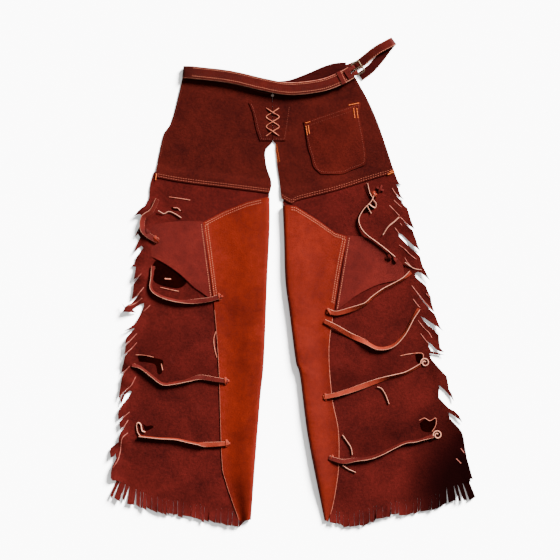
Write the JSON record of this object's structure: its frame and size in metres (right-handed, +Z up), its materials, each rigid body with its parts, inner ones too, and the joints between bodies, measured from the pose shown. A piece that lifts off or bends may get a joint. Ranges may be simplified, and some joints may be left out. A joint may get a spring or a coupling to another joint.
{
  "type": "fringed leather chaps",
  "caption": "Fringed suede chaps laid flat: laced yoke with hip pocket, buckled belt, and two leg panels with folded, tied-down grain flaps.",
  "frame": {"origin": "on the floor under the middle of the laid chaps", "axes": "+Y towards the waist, +Z up out of the laid face, +X to the side with the pocket and buckle"},
  "size_m": [0.8201, 1.1008, 0.0174],
  "materials": {
    "suede_yoke": "rough suede, dark red brown",
    "suede_patch": "rough suede, red brown",
    "suede_panel": "rough suede, red brown",
    "grain_flap": "smooth oiled grain, orange brown",
    "lobe_leather": "smooth leather, lighter red",
    "belt_leather": "smooth stitched strap leather",
    "band_leather": "dark flesh side",
    "tie_leather": "cut strap with pale edges",
    "thong_leather": "pale cut thong",
    "antique_metal": "antique, dull"
  },
  "bodies": {
    "chaps": {"left_yoke": "suede_yoke", "right_yoke": "suede_yoke", "left_lacing_patch": "suede_patch", "right_lacing_patch": "suede_patch", "lower_lacing_thong": "thong_leather", "upper_lacing_thong": "thong_leather", "hip_pocket": "suede_patch", "left_waistband": "band_leather", "right_waistband": "band_leather", "belt_front_run": "belt_leather", "buckle_chape": "tie_leather", "belt_keeper": "tie_leather", "belt_tail": "belt_leather", "left_leg_panel": "suede_panel", "right_leg_panel": "suede_panel", "left_wave_thong": "thong_leather", "right_side_thong": "thong_leather", "right_hook_thong": "thong_leather", "right_arc_thong": "thong_leather", "right_tail_thong": "thong_leather", "right_coil_3": "thong_leather", "right_coil_4": "thong_leather"},
    "left_flap": {"left_leg_flap": "grain_flap", "left_thigh_lobe": "lobe_leather", "left_tie_1": "tie_leather", "left_tie_2": "tie_leather", "left_tie_3": "tie_leather", "left_tie_4": "tie_leather", "left_knot_1": "tie_leather", "left_knot_2": "tie_leather", "left_knot_3": "tie_leather", "left_knot_4": "tie_leather"},
    "right_flap": {"right_leg_flap": "grain_flap", "right_thigh_lobe": "lobe_leather", "right_tip_thong": "thong_leather", "right_tie_1": "tie_leather", "right_tie_2_upper": "tie_leather", "right_tie_2_lower": "tie_leather", "right_tie_3": "tie_leather", "right_tie_4": "tie_leather", "right_knot_1": "tie_leather", "right_knot_2": "tie_leather", "right_knot_3": "tie_leather", "right_knot_4": "tie_leather"},
    "buckle": {"buckle_frame": "antique_metal"},
    "prong": {"buckle_prong": "antique_metal"}
  },
  "joints": [
    {"name": "left_flap_hinge", "type": "hinge", "parent": "chaps", "child": "left_flap", "pos_m": [-0.064, -0.176, 0.008], "axis": [0.0599, 0.9982, 0], "range_deg": [0, 75]},
    {"name": "right_flap_hinge", "type": "hinge", "parent": "chaps", "child": "right_flap", "pos_m": [-0.016, 0.004, 0.008], "axis": [0.126, -0.992, 0], "range_deg": [0, 75]},
    {"name": "buckle_hinge", "type": "hinge", "parent": "chaps", "child": "buckle", "pos_m": [0.13939, 0.47545, 0.0126], "axis": [0.5446, -0.8387, 0], "range_deg": [0, 70]},
    {"name": "prong_hinge", "type": "hinge", "parent": "buckle", "child": "prong", "pos_m": [0.13939, 0.47545, 0.0126], "axis": [0.5446, -0.8387, 0], "range_deg": [0, 60]}
  ]
}
